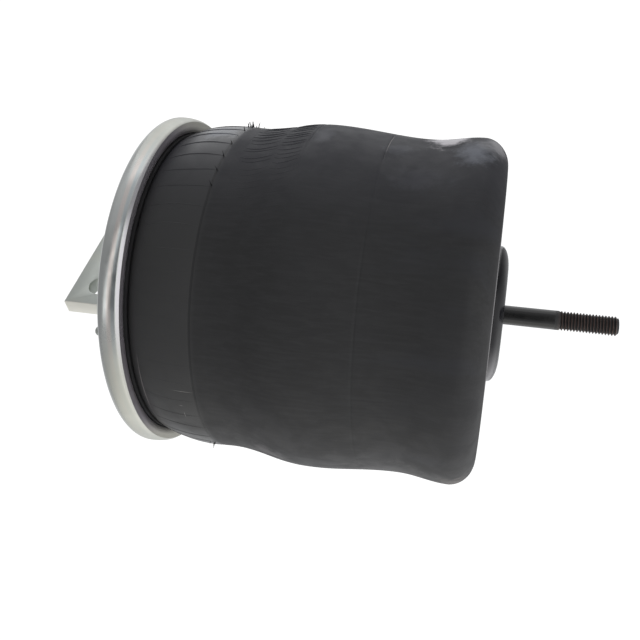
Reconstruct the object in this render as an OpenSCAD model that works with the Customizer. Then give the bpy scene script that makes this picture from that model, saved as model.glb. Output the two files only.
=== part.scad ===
// Rolling-lobe air suspension spring, collapsed on its bump stop.
// Origin: centre of the bead plate's outer face. +Z points out of that face, and the piston hangs below it.

/* [Overall] */
// Distance from the bead plate's outer face to the bottom of the rolled lobe
collapsed_h = 228.5; // [188:0.5:275]
// Outside diameter of the bead plate's rolled rim
rim_d = 230; // [215:1:280]
// Outside diameter of the rolled lobe
lobe_d = 228; // [200:1:280]

/* [Bellows] */
// Thickness of the rubber wall
rubber_t = 5; // [4:0.1:6]
// Outside radius of the rolled fold
fold_r = 16.5; // [14:0.1:20]
// Outside diameter of the neck where the rubber leaves the rim
neck_d = 209; // [200:1:215]
// Outside diameter of the shoulder under the neck
shoulder_d = 222.6; // [216:0.2:230]
// Distance from the bead plate's outer face down to the shoulder
shoulder_depth = 52; // [45:1:60]
// Outside diameter of the dip between shoulder and bulge
dip_d = 221.4; // [214:0.2:228]
// Distance from the bead plate's outer face down to the dip
dip_depth = 68; // [63:1:75]
// Outside diameter of the bulge half way down
bulge_d = 233.4; // [224:0.2:240]
// Height of the bulge above the bottom of the lobe
bulge_up = 114.5; // [105:0.5:125]
// Outside diameter of the waist between bulge and lobe
waist_d = 222; // [214:0.5:230]
// Height of the waist above the bottom of the lobe
waist_up = 48; // [40:1:60]

/* [Bead plate] */
// Thickness of the bead plate's steel
plate_t = 3; // [2.5:0.1:4]
// Radius of the roll at the top of the rim
roll_r = 5.4; // [5:0.1:7]
// Height of the rolled rim
rim_h = 15; // [14:0.5:18]
// Width of the upper bead inside the rim
upper_bead_w = 16; // [14:0.5:18]
// Thickness of the rim's lip
lip_t = 2.5; // [2:0.1:3]
// Inside diameter of the rim's lip
lip_d = 210; // [205:0.5:214]
// Radius of the wire bundle in each bead
wire_r = 2.4; // [2:0.1:3]

/* [Bracket] */
// Width of the bracket
bracket_w = 72.6; // [60:0.1:90]
// Height of the bracket above the bead plate
bracket_h = 69; // [58:0.5:85]
// Thickness of the bracket
bracket_t = 11.2; // [9:0.1:14]
// Diameter of the bracket's two holes
bracket_hole_d = 16.5; // [12:0.1:20]
// Distance between the centres of the two holes
bracket_pitch = 36; // [30:0.5:44]
// Distance from the bracket's free end to the holes' centres
bracket_hole_in = 20; // [16:0.5:26]
// Leg of the bracket's fillet welds
bracket_weld = 6; // [4:0.5:8]

/* [Air inlet and pin] */
// Diameter of the inlet boss
boss_d = 28; // [24:0.5:34]
// Height of the inlet boss above the bead plate
boss_h = 13; // [10:0.5:18]
// Bore of the inlet's thread, 1/4 inch pipe
inlet_bore_d = 11.2; // [9:0.1:14]
// Diameter of the air hole in the bead plate under the boss
air_hole_d = 16; // [12:0.5:20]
// Distance of the inlet from the spring's axis
inlet_offset = 62; // [55:1:75]
// Leg of the inlet's weld
inlet_weld_leg = 3; // [2:0.5:5]
// Diameter of the locating pin
pin_d = 6.4; // [5:0.1:8]
// Height of the locating pin above the bead plate
pin_h = 21.5; // [18:0.5:28]
// Distance of the pin from the axis, across the bracket's faces
pin_x = 73; // [65:1:80]
// Distance of the pin from the axis, along the holes
pin_y = 23; // [18:1:30]

/* [Piston] */
// Height of the piston, foot to top
piston_h = 132; // [115:1:145]
// Thickness of the piston's steel
shell_t = 3; // [2:0.1:4]
// Radius of the piston's top shoulder
shoulder_r = 12; // [9:0.5:15]
// Height of the skirt's edge above the bottom of the lobe
skirt_up = 6; // [4:0.5:9]
// Height of the base plate's web above the bottom of the lobe
web_up = 11; // [10:0.5:14]
// Diameter of the foot that stands out below the lobe
foot_d = 90; // [75:1:100]
// Height of the foot below the lobe
foot_drop = 6; // [5:0.5:10]
// Thickness of the base plate's steel
base_t = 4; // [3:0.5:5]
// Leg of the weld between base and shell
base_weld_leg = 3; // [2:0.5:4]

/* [Clamp and bump stop] */
// Thickness of the bead retainer
retainer_t = 5; // [4:0.5:7]
// Thickness of the retainer's standing wall
retainer_wall = 5.5; // [4:0.5:7]
// Width and height of the lower bead
bead_w = 11; // [9:0.5:11.5]
// Thickness of the steel plate in the bump stop
bump_plate_t = 3.5; // [2.5:0.5:5]
// Diameter of the bump stop's foot
bump_foot_d = 98; // [88:1:100]
// Diameter of the bump stop's top
bump_top_d = 74; // [60:1:84]
// Diameter of the well over the bolt's head
bump_well_d = 34; // [30:0.5:42]

/* [Bolt] */
// Diameter of the bolt, 1/2 inch
bolt_d = 12.7; // [10:0.1:14]
// Length of bolt that stands out below the foot
bolt_out = 72.4; // [60:0.1:90]
// Length of thread at the bolt's end
thread_l = 37.2; // [30:0.1:45]
// Threads per inch
thread_tpi = 13; // [10:1:20]
// Size of the bolt's head across its flats
head_af = 19.05; // [16:0.05:21]
// Height of the bolt's head
head_h = 7.9; // [6:0.1:10]
// Height of the chamfer on the head's corners
head_chamfer_h = 1.1; // [0.5:0.1:2]
// Diameter of the washer
washer_d = 27; // [24:0.5:29]
// Thickness of the washer
washer_t = 3.1; // [2:0.1:4]

/* [Hidden] */

$fn = 96;
inch = 25.4;
// Gap between rubber and the metal that holds it, and between loosely fitted pieces
seat_gap = 0.2;
// Gap between bodies that slide past each other
slide_gap = 0.3;
// Gap between the bolt and the holes that it passes through
bolt_gap = 0.3;
// Steps along each curved stretch of the bellows
profile_steps = 6;

// Heights on the spring's axis
fold_z = -collapsed_h;
fold_centre_z = fold_z + fold_r;
bulge_z = fold_z + bulge_up;
waist_z = fold_z + waist_up;
foot_z = fold_z - foot_drop;
piston_top_z = foot_z + piston_h;
retainer_top_z = piston_top_z + retainer_t;
bump_plate_top_z = retainer_top_z + bump_plate_t;
head_z = bump_plate_top_z + washer_t;
bump_top_z = -plate_t - slide_gap;
bolt_end_z = foot_z - bolt_out;

// Radii
rim_r = rim_d / 2;
lip_r = lip_d / 2;
lobe_r = lobe_d / 2;
fold_mid_r = lobe_r - fold_r;
piston_r = fold_mid_r - fold_r - slide_gap;
bore_r = bolt_d / 2 + bolt_gap;

foot_r = foot_d / 2;
bump_foot_r = bump_foot_d / 2;
// Rubber round the edge of the bump stop's plate
bump_skirt = 4;
bump_plate_r = bump_foot_r - bump_skirt;
// The retainer's cup holds the bump stop's foot, and its wall stands inside the lower bead
cup_gap = 1.5;
cup_r = bump_foot_r + cup_gap;
bead_in_r = cup_r + retainer_wall + seat_gap;
// Gap between a bead's rubber and its wire
wire_gap = 0.05;
upper_wire_r = rim_r - plate_t - 6;
upper_wire_z = -(plate_t + rim_h - lip_t) / 2;
lower_wire_r = bead_in_r + bead_w / 2;
lower_wire_z = piston_top_z + bead_w / 2;

// Base plate
web_z = fold_z + web_up;
base_fillet = 3;
base_r = piston_r - shell_t - seat_gap;

// Seals
seal_r = 20;
seal_section_r = 1.4;
seal_groove_w = 3.4;
seal_groove_h = 2.9;
seal_cut = 1;
seal_h = 2.4;
// Play round the base seal in its groove
seal_play = 0.03;

// Depth of an inch thread as a share of its pitch
thread_depth_share = 0.613;

// The rim is a quarter circle above and part of a tall ellipse below, round this radius
roll_x = rim_r - roll_r;
roll_drop = rim_h - 3.5;
roll_angle = 50;
roll_end_r = roll_x + roll_r * cos(roll_angle);
roll_end_in_r = roll_x + (roll_r - plate_t) * cos(roll_angle);

function ramp(a, b, t) = a + (b - a) * (1 - cos(180 * t)) / 2;
function swell(a, b, t) = a + (b - a) * sin(90 * t);
function arc(x, y, rx, ry, from, to, steps = 8) =
    [for (i = [0 : steps]) let (a = from + (to - from) * i / steps) [x + rx * cos(a), y + ry * sin(a)]];
function reversed(list) = [for (i = [len(list) - 1 : -1 : 0]) list[i]];
function inward(list, t) = [for (p = list) [p[0] - t, p[1]]];

// Outside of the bellows from one station to the next, without the last point
function stretch(r1, z1, r2, z2, bulging = false) =
    [for (i = [0 : profile_steps - 1])
        let (t = i / profile_steps)
        [bulging ? swell(r1, r2, t) : ramp(r1, r2, t), z1 + (z2 - z1) * t]];

neck_z = -rim_h - 0.5;
bellows_outside = concat(
    stretch(neck_d / 2, neck_z, shoulder_d / 2, -shoulder_depth, bulging = true),
    stretch(shoulder_d / 2, -shoulder_depth, dip_d / 2, -dip_depth),
    stretch(dip_d / 2, -dip_depth, bulge_d / 2, bulge_z),
    stretch(bulge_d / 2, bulge_z, waist_d / 2, waist_z),
    stretch(waist_d / 2, waist_z, lobe_r, fold_centre_z),
    [[lobe_r, fold_centre_z]]
);

module lathe(points) {
    rotate_extrude() polygon(points);
}

module ring(r, z, section_r) {
    rotate_extrude() translate([r, z]) circle(section_r);
}

// Pressed disc with its rim rolled over the rubber bead
module bead_plate() {
    inner_roll_r = roll_r - plate_t;
    inner_drop = roll_drop - plate_t;
    lip_x = lip_r + lip_t / 2;
    lip_z = -rim_h + lip_t / 2;
    outside = concat(
        [[0, 0]],
        arc(roll_x, -roll_r, roll_r, roll_r, 90, 0),
        arc(roll_x, -roll_r, roll_r, roll_drop, 0, -roll_angle),
        [[roll_end_r - 1, -rim_h]],
        arc(lip_x, lip_z, lip_t / 2, lip_t / 2, -90, -270)
    );
    inside = concat(
        [[roll_end_in_r, -rim_h + lip_t]],
        arc(roll_x, -roll_r, inner_roll_r, inner_drop, -roll_angle, 0),
        arc(roll_x, -roll_r, inner_roll_r, inner_roll_r, 0, 90),
        [[0, -plate_t]]
    );
    color([0.78, 0.79, 0.77])
        difference() {
            lathe(concat(outside, inside));
            translate([inlet_offset, 0, -plate_t - 1]) cylinder(d = air_hole_d, h = plate_t + 2);
        }
}

module upper_bead_wire() {
    color([0.5, 0.45, 0.35]) ring(upper_wire_r, upper_wire_z, wire_r);
}

// Flat plate across the bead plate, with two holes along Y
module bracket() {
    hole_z = bracket_h - bracket_hole_in;
    color([0.7, 0.72, 0.68])
        rotate([90, 0, 0])
            linear_extrude(bracket_t, center = true)
                difference() {
                    translate([-bracket_w / 2, 0]) square([bracket_w, bracket_h]);
                    for (side = [-1, 1])
                        translate([side * bracket_pitch / 2, hole_z]) circle(d = bracket_hole_d);
                }
}

module bracket_welds() {
    weld_l = bracket_w - 2 * bracket_weld;
    color([0.66, 0.68, 0.64])
        for (side = [0, 1])
            mirror([0, side, 0])
                translate([-weld_l / 2, bracket_t / 2, 0])
                    rotate([90, 0, 90])
                        linear_extrude(weld_l) polygon([[0, 0], [bracket_weld, 0], [0, bracket_weld]]);
}

module locating_pin() {
    chamfer = 1;
    pin_r = pin_d / 2;
    color([0.7, 0.72, 0.68])
        translate([-pin_x, -pin_y, 0])
            lathe([[0, 0], [pin_r, 0], [pin_r, pin_h - chamfer], [pin_r - chamfer, pin_h], [0, pin_h]]);
}

module inlet_boss() {
    chamfer = 1.5;
    color([0.75, 0.76, 0.74])
        translate([inlet_offset, 0, 0])
            lathe([
                [inlet_bore_d / 2, 0], [boss_d / 2, 0], [boss_d / 2, boss_h - chamfer],
                [boss_d / 2 - chamfer, boss_h], [inlet_bore_d / 2, boss_h]
            ]);
}

module inlet_weld() {
    color([0.66, 0.68, 0.64])
        translate([inlet_offset, 0, 0])
            lathe([[boss_d / 2, 0], [boss_d / 2 + inlet_weld_leg, 0], [boss_d / 2, inlet_weld_leg]]);
}

// Upper bead of the bellows, held in the rolled rim
module bellows_bead() {
    bead_top = -plate_t - seat_gap;
    bead_out_r = rim_r - plate_t - seat_gap;
    bead_in_r = bead_out_r - upper_bead_w;
    bead_corner_r = roll_end_in_r - seat_gap;
    bead_floor = -rim_h + lip_t + seat_gap;
    bead_side = -roll_r - 2;
    bead_toe = 3;
    color([0.13, 0.13, 0.14])
        difference() {
            lathe([
                [bead_in_r, bead_top], [roll_x - seat_gap, bead_top], [bead_out_r, -roll_r],
                [bead_out_r, bead_side], [bead_corner_r, bead_floor], [neck_d / 2, bead_floor],
                [neck_d / 2, neck_z], [neck_d / 2 - rubber_t, neck_z], [bead_in_r, bead_floor + bead_toe]
            ]);
            ring(upper_wire_r, upper_wire_z, wire_r + wire_gap);
        }
}

// Outer leg of the bellows, from the rim down to the fold
module bellows_sleeve() {
    color([0.13, 0.13, 0.14]) lathe(concat(bellows_outside, reversed(inward(bellows_outside, rubber_t))));
}

// Rolled fold between the two legs, a half ring open at the top
module bellows_lobe() {
    color([0.13, 0.13, 0.14])
        translate([0, 0, fold_centre_z])
            rotate_extrude()
                translate([fold_mid_r, 0])
                    difference() {
                        circle(fold_r);
                        circle(fold_r - rubber_t);
                        translate([-fold_r - 1, 0]) square([2 * fold_r + 2, fold_r + 1]);
                    }
}

// Inner leg of the bellows: up the piston, over its shoulder and in to the lower bead
module bellows_inner_sleeve() {
    leg_r = fold_mid_r - fold_r;
    turn_x = piston_r - shoulder_r;
    turn_z = piston_top_z - shoulder_r;
    turn_in = leg_r - turn_x;
    turn_out = turn_in + rubber_t;
    color([0.16, 0.16, 0.17])
        difference() {
            lathe(concat(
                [[leg_r, fold_centre_z], [leg_r + rubber_t, fold_centre_z]],
                arc(turn_x, turn_z, turn_out, turn_out, 0, 75),
                [
                    [bead_in_r + bead_w, piston_top_z + bead_w], [bead_in_r, piston_top_z + bead_w],
                    [bead_in_r, piston_top_z + seat_gap]
                ],
                reversed(arc(turn_x, turn_z, turn_in, turn_in, 0, 90))
            ));
            ring(lower_wire_r, lower_wire_z, wire_r + wire_gap);
        }
}

module lower_bead_wire() {
    color([0.5, 0.45, 0.35]) ring(lower_wire_r, lower_wire_z, wire_r);
}

// Drawn steel piston, open at the bottom
module piston_shell() {
    turn_x = piston_r - shoulder_r;
    turn_z = piston_top_z - shoulder_r;
    skirt_z = fold_z + skirt_up;
    color([0.08, 0.08, 0.09])
        lathe(concat(
            [[piston_r, skirt_z]],
            arc(turn_x, turn_z, shoulder_r, shoulder_r, 0, 90),
            [[bore_r, piston_top_z], [bore_r, piston_top_z - shell_t]],
            reversed(arc(turn_x, turn_z, shoulder_r - shell_t, shoulder_r - shell_t, 0, 90)),
            [[piston_r - shell_t, skirt_z]]
        ));
}

// Pressed base: a web inside the shell and the foot that stands out of the fold
module piston_base() {
    edge = 10;
    edge_x = foot_r - edge;
    inner_fillet = 4;
    color([0.05, 0.05, 0.06])
        lathe(concat(
            [[bore_r, foot_z]],
            arc(edge_x, fold_z, edge, foot_drop, -90, 0),
            arc(foot_r + base_fillet, web_z - base_fillet, base_fillet, base_fillet, 180, 90),
            [
                [base_r, web_z], [base_r, web_z + base_t], [foot_r, web_z + base_t],
                [foot_r - base_t, web_z + base_t - inner_fillet]
            ],
            arc(edge_x, fold_z, edge - base_t, foot_drop - base_t, 0, -90),
            [[bore_r, foot_z + base_t]]
        ));
}

module piston_weld() {
    shell_in_r = piston_r - shell_t;
    color([0.07, 0.07, 0.08])
        lathe([[shell_in_r - base_weld_leg, web_z], [shell_in_r, web_z], [shell_in_r, web_z - base_weld_leg]]);
}

module crush_sleeve() {
    wall = 4;
    bottom = foot_z + base_t;
    color([0.6, 0.6, 0.58])
        translate([0, 0, bottom])
            difference() {
                cylinder(r = bore_r + wall, h = piston_top_z - shell_t - bottom);
                translate([0, 0, -1]) cylinder(r = bore_r, h = piston_h);
            }
}

// Dished plate whose flange holds the lower bead on the piston
module bead_retainer() {
    flange_t = 3;
    taper = 2.5;
    taper_z = retainer_top_z + 4;
    wall_r = bead_in_r - seat_gap;
    flange_z = piston_top_z + bead_w + seat_gap;
    flange_r = bead_in_r + bead_w - 1;
    color([0.7, 0.7, 0.68])
        difference() {
            lathe([
                [bore_r, piston_top_z], [wall_r, piston_top_z], [wall_r, flange_z], [flange_r, flange_z],
                [flange_r, flange_z + flange_t], [cup_r + taper, flange_z + flange_t],
                [cup_r, taper_z], [cup_r, retainer_top_z], [bore_r, retainer_top_z]
            ]);
            rotate_extrude()
                translate([seal_r - seal_groove_w / 2, piston_top_z - 1])
                    square([seal_groove_w, seal_groove_h + 1]);
        }
}

module retainer_seal() {
    color([0.2, 0.2, 0.2]) ring(seal_r, piston_top_z + seal_section_r, seal_section_r);
}

module bump_stop_plate() {
    color([0.7, 0.7, 0.68])
        lathe([
            [bore_r, retainer_top_z], [bump_plate_r, retainer_top_z],
            [bump_plate_r, bump_plate_top_z], [bore_r, bump_plate_top_z]
        ]);
}

// Rubber bumper round the bolt's head, moulded over the steel plate
module bump_stop() {
    well_r = bump_well_d / 2;
    top_r = bump_top_d / 2;
    edge = 8;
    foot_h = 18;
    cone_foot_r = top_r + 2;
    color([0.2, 0.19, 0.18])
        lathe(concat(
            [
                [well_r, bump_plate_top_z], [bump_plate_r + seat_gap, bump_plate_top_z],
                [bump_plate_r + seat_gap, retainer_top_z], [bump_foot_r, retainer_top_z],
                [bump_foot_r, retainer_top_z + foot_h], [cone_foot_r, retainer_top_z + 2 * foot_h]
            ],
            arc(top_r - edge, bump_top_z - edge, edge, edge, 0, 90),
            [[well_r, bump_top_z]]
        ));
}

module bolt_washer() {
    color([0.25, 0.25, 0.25])
        translate([0, 0, bump_plate_top_z])
            difference() {
                cylinder(d = washer_d, h = washer_t);
                translate([0, 0, -1]) cylinder(r = bore_r, h = washer_t + 2);
            }
}

// Hex bolt through the whole piston. Its thread is cut as level grooves.
module piston_bolt() {
    r = bolt_d / 2;
    pitch = inch / thread_tpi;
    root_r = r - thread_depth_share * pitch;
    chamfer = r - root_r;
    thread_z = bolt_end_z + thread_l;
    turns = floor((thread_l - chamfer) / pitch);
    thread = [
        for (i = [0 : turns - 1])
            each [[r, thread_z - i * pitch], [root_r, thread_z - (i + 0.5) * pitch]]
    ];
    head_r = head_af / 2 / cos(30);
    cone_slope = (head_r - head_af / 2) / head_chamfer_h;
    color([0.1, 0.09, 0.08]) {
        lathe(concat(
            [
                [0, head_z + 1], [r, head_z + 1], [r, foot_z + seal_h], [r - seal_cut, foot_z + seal_h],
                [r - seal_cut, foot_z], [r, foot_z]
            ],
            thread,
            [[r, thread_z - turns * pitch], [r, bolt_end_z + chamfer], [root_r, bolt_end_z], [0, bolt_end_z]]
        ));
        translate([0, 0, head_z])
            intersection() {
                cylinder(r = head_r, h = head_h, $fn = 6);
                cylinder(r1 = head_af / 2 + cone_slope * head_h, r2 = head_af / 2, h = head_h);
            }
    }
}

module base_seal() {
    section_r = (seal_cut + bolt_gap) / 2 - seal_play;
    color([0.15, 0.15, 0.15])
        ring(bolt_d / 2 - seal_cut + section_r + seal_play, foot_z + seal_h / 2, section_r);
}

bead_plate();
upper_bead_wire();
bracket();
bracket_welds();
locating_pin();
inlet_boss();
inlet_weld();
bellows_bead();
bellows_sleeve();
bellows_lobe();
bellows_inner_sleeve();
lower_bead_wire();
piston_shell();
piston_base();
piston_weld();
crush_sleeve();
bead_retainer();
retainer_seal();
bump_stop_plate();
bump_stop();
bolt_washer();
piston_bolt();
base_seal();
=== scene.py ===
import math
import random

import bmesh
import bpy
from mathutils import Matrix, Vector, noise


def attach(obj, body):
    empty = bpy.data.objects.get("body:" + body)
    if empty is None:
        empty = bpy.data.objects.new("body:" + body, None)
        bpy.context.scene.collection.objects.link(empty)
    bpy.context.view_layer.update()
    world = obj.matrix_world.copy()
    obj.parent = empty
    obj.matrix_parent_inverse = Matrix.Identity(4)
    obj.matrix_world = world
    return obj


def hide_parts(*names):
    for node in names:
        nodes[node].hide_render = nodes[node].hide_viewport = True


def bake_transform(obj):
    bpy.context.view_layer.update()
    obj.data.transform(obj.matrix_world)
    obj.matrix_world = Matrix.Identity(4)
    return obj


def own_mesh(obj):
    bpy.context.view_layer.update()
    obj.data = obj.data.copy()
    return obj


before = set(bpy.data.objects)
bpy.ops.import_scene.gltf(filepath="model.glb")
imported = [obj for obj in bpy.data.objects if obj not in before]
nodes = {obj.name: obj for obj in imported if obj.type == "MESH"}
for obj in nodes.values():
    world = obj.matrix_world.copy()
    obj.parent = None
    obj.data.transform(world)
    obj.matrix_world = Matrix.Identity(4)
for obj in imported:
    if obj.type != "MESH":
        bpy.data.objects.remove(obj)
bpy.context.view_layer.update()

random.seed(7)


# Camera.
# The camera looks from beside the piston, half a metre from the spring's axis. It is rolled a quarter
# turn, so the spring lies across the picture with its bead plate on the left and the bolt on the right.
camera_place = (-0.36415, -0.39187, -0.2285)
camera_right = Vector((0.22372, 0.08734, -0.97073))
camera_up = Vector((0.73344, -0.67101, 0.10866))
camera_forward = Vector((0.64188, 0.73629, 0.21418))
camera_data = bpy.data.cameras.new("camera")
camera_data.lens = 44.24
camera_data.sensor_width = 36
camera_data.clip_start = 0.01
camera = bpy.data.objects.new("camera", camera_data)
bpy.context.scene.collection.objects.link(camera)
camera_turn = Matrix((camera_right, camera_up, -camera_forward)).transposed().to_4x4()
camera.matrix_world = Matrix.Translation(camera_place) @ camera_turn
bpy.context.scene.camera = camera


# Bead plate.
# A disc pressed from 3 mm steel. Its edge is rolled over the upper bead of the rubber and crimped shut,
# and the whole pressing is zinc plated, with a clear passivation that gives faint pink and green bands.
plate_t = 0.003
rim_r = 0.115
roll_r = 0.0054
rim_h = 0.015
lip_r = 0.105
lip_t = 0.0025
disc_r = 0.104
air_hole_r = 0.008
inlet_x = 0.062
turn_steps = 256


def arc(x, z, rx, rz, start, end, steps=10):
    """Points of an elliptical arc in the plane through the axis, with angles in degrees."""
    angles = [math.radians(start + (end - start) * i / steps) for i in range(steps + 1)]
    return [(x + rx * math.cos(a), z + rz * math.sin(a)) for a in angles]


def pour(part, bm):
    """Moves all that a small bmesh holds into a larger one."""
    held = bpy.data.meshes.new("held")
    part.to_mesh(held)
    part.free()
    bm.from_mesh(held)
    bpy.data.meshes.remove(held)


def turn(bm, outline, steps=turn_steps, closed=True, centre=(0, 0)):
    """Spins an outline of radius and height points a full turn round an upright axis."""
    part = bmesh.new()
    cx, cy = centre
    verts = [part.verts.new((cx + r, cy, z)) for r, z in outline]
    ends = verts[1:] + verts[:1] if closed else verts[1:]
    edges = [part.edges.new(pair) for pair in zip(verts, ends)]
    bmesh.ops.spin(
        part, geom=verts + edges, cent=(cx, cy, 0), axis=(0, 0, 1), dvec=(0, 0, 0),
        angle=2 * math.pi, steps=steps, use_merge=True, use_duplicate=False,
    )
    bmesh.ops.remove_doubles(part, verts=part.verts, dist=1e-6)
    pour(part, bm)


def finish(bm, name, material, body=None, sharp=35):
    """Makes an object of a bmesh, smooth but for edges sharper than an angle, and rides it on a body."""
    bmesh.ops.recalc_face_normals(bm, faces=bm.faces)
    mesh = bpy.data.meshes.new(name)
    bm.to_mesh(mesh)
    bm.free()
    mesh.polygons.foreach_set("use_smooth", [True] * len(mesh.polygons))
    mesh.set_sharp_from_angle(angle=math.radians(sharp))
    mesh.materials.append(material)
    piece = bpy.data.objects.new(name, mesh)
    bpy.context.scene.collection.objects.link(piece)
    if body:
        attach(piece, body)
    return piece


def add(tree, kind, settings=None, inputs=None):
    """Adds a shader node. An input is a plain value, or an output socket that gets linked to it."""
    made = tree.nodes.new(kind)
    for key, value in (settings or {}).items():
        setattr(made, key, value)
    for key, value in (inputs or {}).items():
        if isinstance(value, bpy.types.NodeSocket):
            tree.links.new(value, made.inputs[key])
        else:
            made.inputs[key].default_value = value
    return made


def remap(tree, value, low, high, to_low=0.0, to_high=1.0):
    """Maps a value's range from low to high onto another range, smoothly and clamped."""
    return add(tree, "ShaderNodeMapRange", {"interpolation_type": "SMOOTHSTEP"}, {
        "Value": value, "From Min": low, "From Max": high, "To Min": to_low, "To Max": to_high,
    }).outputs["Result"]


def calc(tree, operation, *values):
    """One step of arithmetic on masks, heights or distances."""
    return add(tree, "ShaderNodeMath", {"operation": operation}, dict(enumerate(values))).outputs["Value"]


def towards(tree, vector, way):
    """How far a vector reaches along a direction."""
    along = add(tree, "ShaderNodeVectorMath", {"operation": "DOT_PRODUCT"}, {0: vector, 1: way})
    return along.outputs["Value"]


def from_axis(tree, place):
    """How far a place lies from the spring's axis."""
    level = add(tree, "ShaderNodeVectorMath", {"operation": "MULTIPLY"}, {0: place, 1: (1, 1, 0)})
    across = add(tree, "ShaderNodeVectorMath", {"operation": "LENGTH"}, {0: level.outputs["Vector"]})
    return across.outputs["Value"]


def height_of(tree, place):
    """Height of a place along the spring's axis."""
    return add(tree, "ShaderNodeSeparateXYZ", None, {"Vector": place}).outputs["Z"]


def blend_colours(tree, share, first, second):
    """Mixes two colours by a share from 0, the first, to 1, the second."""
    mixed = add(tree, "ShaderNodeMix", {"data_type": "RGBA"}, {"Factor": share})
    for socket, colour in zip((mixed.inputs[6], mixed.inputs[7]), (first, second)):
        if isinstance(colour, bpy.types.NodeSocket):
            tree.links.new(colour, socket)
        else:
            socket.default_value = (*colour, 1)
    return mixed.outputs[2]


def new_group(name, inputs, outputs):
    """Starts a shader node group with named float inputs and outputs, and a Vector input."""
    tree = bpy.data.node_groups.new(name, "ShaderNodeTree")
    tree.interface.new_socket("Vector", in_out="INPUT", socket_type="NodeSocketVector")
    for key, value in inputs.items():
        socket = tree.interface.new_socket(key, in_out="INPUT", socket_type="NodeSocketFloat")
        socket.default_value = value
    for key in outputs:
        tree.interface.new_socket(key, in_out="OUTPUT", socket_type="NodeSocketFloat")
    return tree, tree.nodes.new("NodeGroupInput").outputs, tree.nodes.new("NodeGroupOutput").inputs


# Clouds: soft blotches of one size with finer ones inside, from 0 to 1
clouds, given, result = new_group("clouds", {"Scale": 10, "Low": 0.4, "High": 0.7}, ["Mask"])
blotches = add(clouds, "ShaderNodeTexNoise", None, {
    "Vector": given["Vector"], "Scale": given["Scale"], "Detail": 5, "Roughness": 0.6, "Distortion": 0.4,
})
clouds.links.new(remap(clouds, blotches.outputs["Fac"], given["Low"], given["High"]), result["Mask"])

# Grain: a fine, even roughness of the surface, from 0 to 1
grain, given, result = new_group("grain", {"Scale": 2000}, ["Height"])
fine = add(grain, "ShaderNodeTexNoise", None, {
    "Vector": given["Vector"], "Scale": given["Scale"], "Detail": 3,
})
grain.links.new(fine.outputs["Fac"], result["Height"])


def new_material(name):
    """Starts a material, and returns its tree, its Principled shader and the Object coordinates."""
    material = bpy.data.materials.new(name)
    material.use_nodes = True
    tree = material.node_tree
    place = tree.nodes.new("ShaderNodeTexCoord").outputs["Object"]
    return material, tree, tree.nodes["Principled BSDF"], place


def use(tree, group, vector, **inputs):
    """Places a node group in a material with its own values."""
    return add(tree, "ShaderNodeGroup", {"node_tree": group}, {"Vector": vector, **inputs})


def set_plain(shader, **values):
    """Sets plain values on a shader's own sockets."""
    for key, value in values.items():
        shader.inputs[key.replace("_", " ")].default_value = value


def bump(tree, shader, height, distance):
    """Feeds a height to the shader's normal."""
    made = add(tree, "ShaderNodeBump", None, {"Height": height, "Distance": distance})
    tree.links.new(made.outputs["Normal"], shader.inputs["Normal"])


def zinc(name, bright, tint, roughness, spread):
    """Zinc plate on steel: two close greys in blotches, a passivation tint over them, and a satin finish."""
    material, tree, shader, place = new_material(name)
    patches = use(tree, clouds, place, Scale=38, Low=0.35, High=0.7).outputs["Mask"]
    stains = use(tree, clouds, place, Scale=14, Low=0.45, High=0.75).outputs["Mask"]
    base = blend_colours(tree, patches, bright, [c * 0.93 for c in bright])
    tree.links.new(blend_colours(tree, stains, base, tint), shader.inputs["Base Color"])
    satin = use(tree, clouds, place, Scale=120, Low=0.3, High=0.7).outputs["Mask"]
    tree.links.new(remap(tree, satin, 0, 1, roughness, roughness + spread), shader.inputs["Roughness"])
    set_plain(shader, Metallic=1)
    bump(tree, shader, use(tree, grain, place, Scale=1500).outputs["Height"], 0.000003)
    return material


roll_x = rim_r - roll_r
plate_zinc = zinc("plate_zinc", (0.75, 0.77, 0.755), (0.69, 0.705, 0.655), 0.19, 0.06)
tree = plate_zinc.node_tree
shader = tree.nodes["Principled BSDF"]
place = add(tree, "ShaderNodeTexCoord").outputs["Object"]
height = height_of(tree, place)
tinted = shader.inputs["Base Color"].links[0].from_socket

# The passivation's tint changes round the bend of the rim: pink above, blue-green on its flank, lilac
# below. The bands are also painted light: the pink band lightens the plate and the flank and lower bands
# darken it, as painted reflections of the bright and dark surroundings. Each band is a height, a half
# width and a colour.
tint_and_reflection_bands = [
    (-0.009, 0.002, (0.82, 0.765, 0.73)), (-0.0116, 0.0014, (0.66, 0.705, 0.715)),
    (-0.014, 0.0012, (0.7, 0.685, 0.71)),
]
for z, spread, tint in tint_and_reflection_bands:
    above = remap(tree, height, z + spread, z + spread * 0.3)
    below = remap(tree, height, z - spread, z - spread * 0.3)
    tinted = blend_colours(tree, calc(tree, "MULTIPLY", above, below), tinted, tint)

# Two stretches of the rim, its ends along side_way, are painted darker and creamier as painted shade where
# the light falls off, and made rougher
side_way = Vector((0.74, -0.67, 0))
along_side_way = towards(tree, place, side_way)
one_side = remap(tree, along_side_way, 0.055, 0.095, 0, 0.9)
other_side = remap(tree, along_side_way, -0.02, -0.065, 0, 0.9)
shaded_ends = calc(tree, "MAXIMUM", one_side, other_side)
dull = calc(tree, "MULTIPLY", shaded_ends, remap(tree, height, -0.0015, -0.006))
# Painted shade: the darker, creamier colour of the rim's two ends
tinted = blend_colours(tree, dull, tinted, (0.54, 0.545, 0.495))
satin = shader.inputs["Roughness"].links[0].from_socket
tree.links.new(calc(tree, "MULTIPLY_ADD", dull, 0.2, satin), shader.inputs["Roughness"])
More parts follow.
